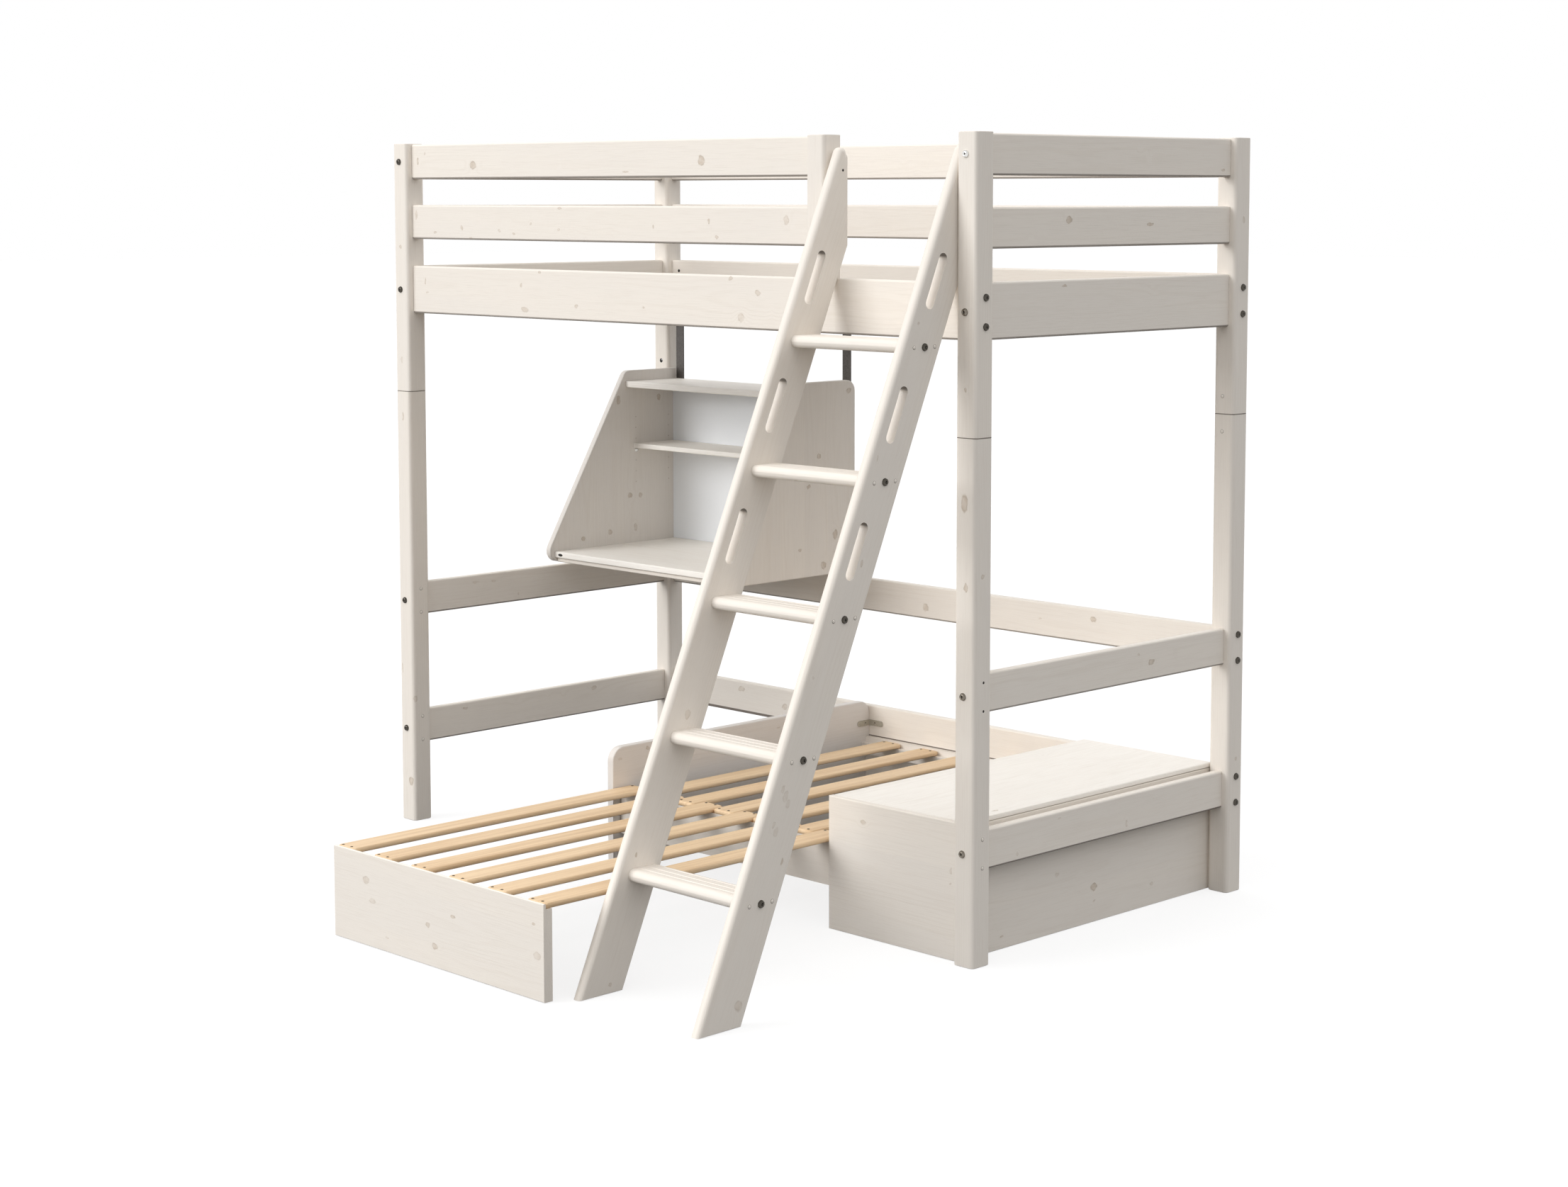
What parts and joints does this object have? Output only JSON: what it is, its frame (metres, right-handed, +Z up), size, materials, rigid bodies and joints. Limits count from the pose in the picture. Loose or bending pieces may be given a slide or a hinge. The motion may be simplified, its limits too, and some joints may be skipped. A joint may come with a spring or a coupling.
{
  "type": "loft bed",
  "caption": "High pine bunk on square posts with a leaning ladder, a hanging desk with shelves, a slatted seat with a pull-out base and a lidded chest.",
  "frame": {"origin": "centre of the bounding box, on the floor", "axes": "+X along the bed from the desk end to the chest end, +Y from the ladder side to the wall side, +Z up"},
  "size_m": [2.103, 1.834, 1.85],
  "materials": {
    "pine": "whitewashed pine, satin lacquer",
    "beech": "clear lacquered hardwood slats, webbing tapes",
    "magnet_board": "pale grey, semi-gloss",
    "dark_steel": "dark grey, satin",
    "nickel": "warm nickel plate, satin"
  },
  "bodies": {
    "bed": {"front_left_lower_post": "pine", "front_left_upper_post": "pine", "front_right_lower_post": "pine", "front_right_upper_post": "pine", "back_left_lower_post": "pine", "back_left_upper_post": "pine", "back_right_lower_post": "pine", "back_right_upper_post": "pine", "ladder_guard_post": "pine", "front_top_rail": "pine", "front_guard_rail": "pine", "front_bed_rail": "pine", "back_top_rail": "pine", "back_guard_rail": "pine", "back_bed_rail": "pine", "back_lower_rail": "pine", "back_bottom_rail": "pine", "left_end_top_rail": "pine", "left_end_guard_rail": "pine", "left_end_bed_rail": "pine", "left_end_lower_rail": "pine", "left_end_bottom_rail": "pine", "right_end_top_rail": "pine", "right_end_guard_rail": "pine", "right_end_bed_rail": "pine", "right_end_lower_rail": "pine", "right_end_bottom_rail": "pine", "front_slat_ledge": "pine", "back_slat_ledge": "pine", "ladder_left_stringer": "pine", "ladder_right_stringer": "pine", "ladder_rung_1": "pine", "ladder_rung_2": "pine", "ladder_rung_3": "pine", "ladder_rung_4": "pine", "ladder_rung_5": "pine", "desk_left_panel": "pine", "desk_right_panel": "pine", "desk_top_board": "pine", "desk_top_shelf": "pine", "desk_middle_shelf": "pine", "desk_apron": "pine", "seat_side_panel": "pine", "seat_back_board": "pine", "chest_front": "pine", "chest_left_side": "pine", "chest_right_side": "pine", "chest_back": "pine", "chest_floor": "pine", "loft_slat_base": "beech", "seat_fixed_slats": "beech", "desk_magnetic_back": "magnet_board", "desk_left_strap": "dark_steel", "desk_right_strap": "dark_steel", "chest_hinge": "nickel", "seat_bracket": "nickel"},
    "pullout": {"pullout_front_board": "pine", "pullout_slats": "beech"},
    "lid": {"chest_lid": "pine"}
  },
  "joints": [
    {"name": "pullout_slide", "type": "slide", "parent": "bed", "child": "pullout", "axis": [0, 1, 0], "range_m": [0, 0.848]},
    {"name": "lid_hinge", "type": "hinge", "parent": "bed", "child": "lid", "pos_m": [0.581, 0.415, 0.3043], "axis": [0, -1, 0], "range_deg": [0, 100]}
  ]
}
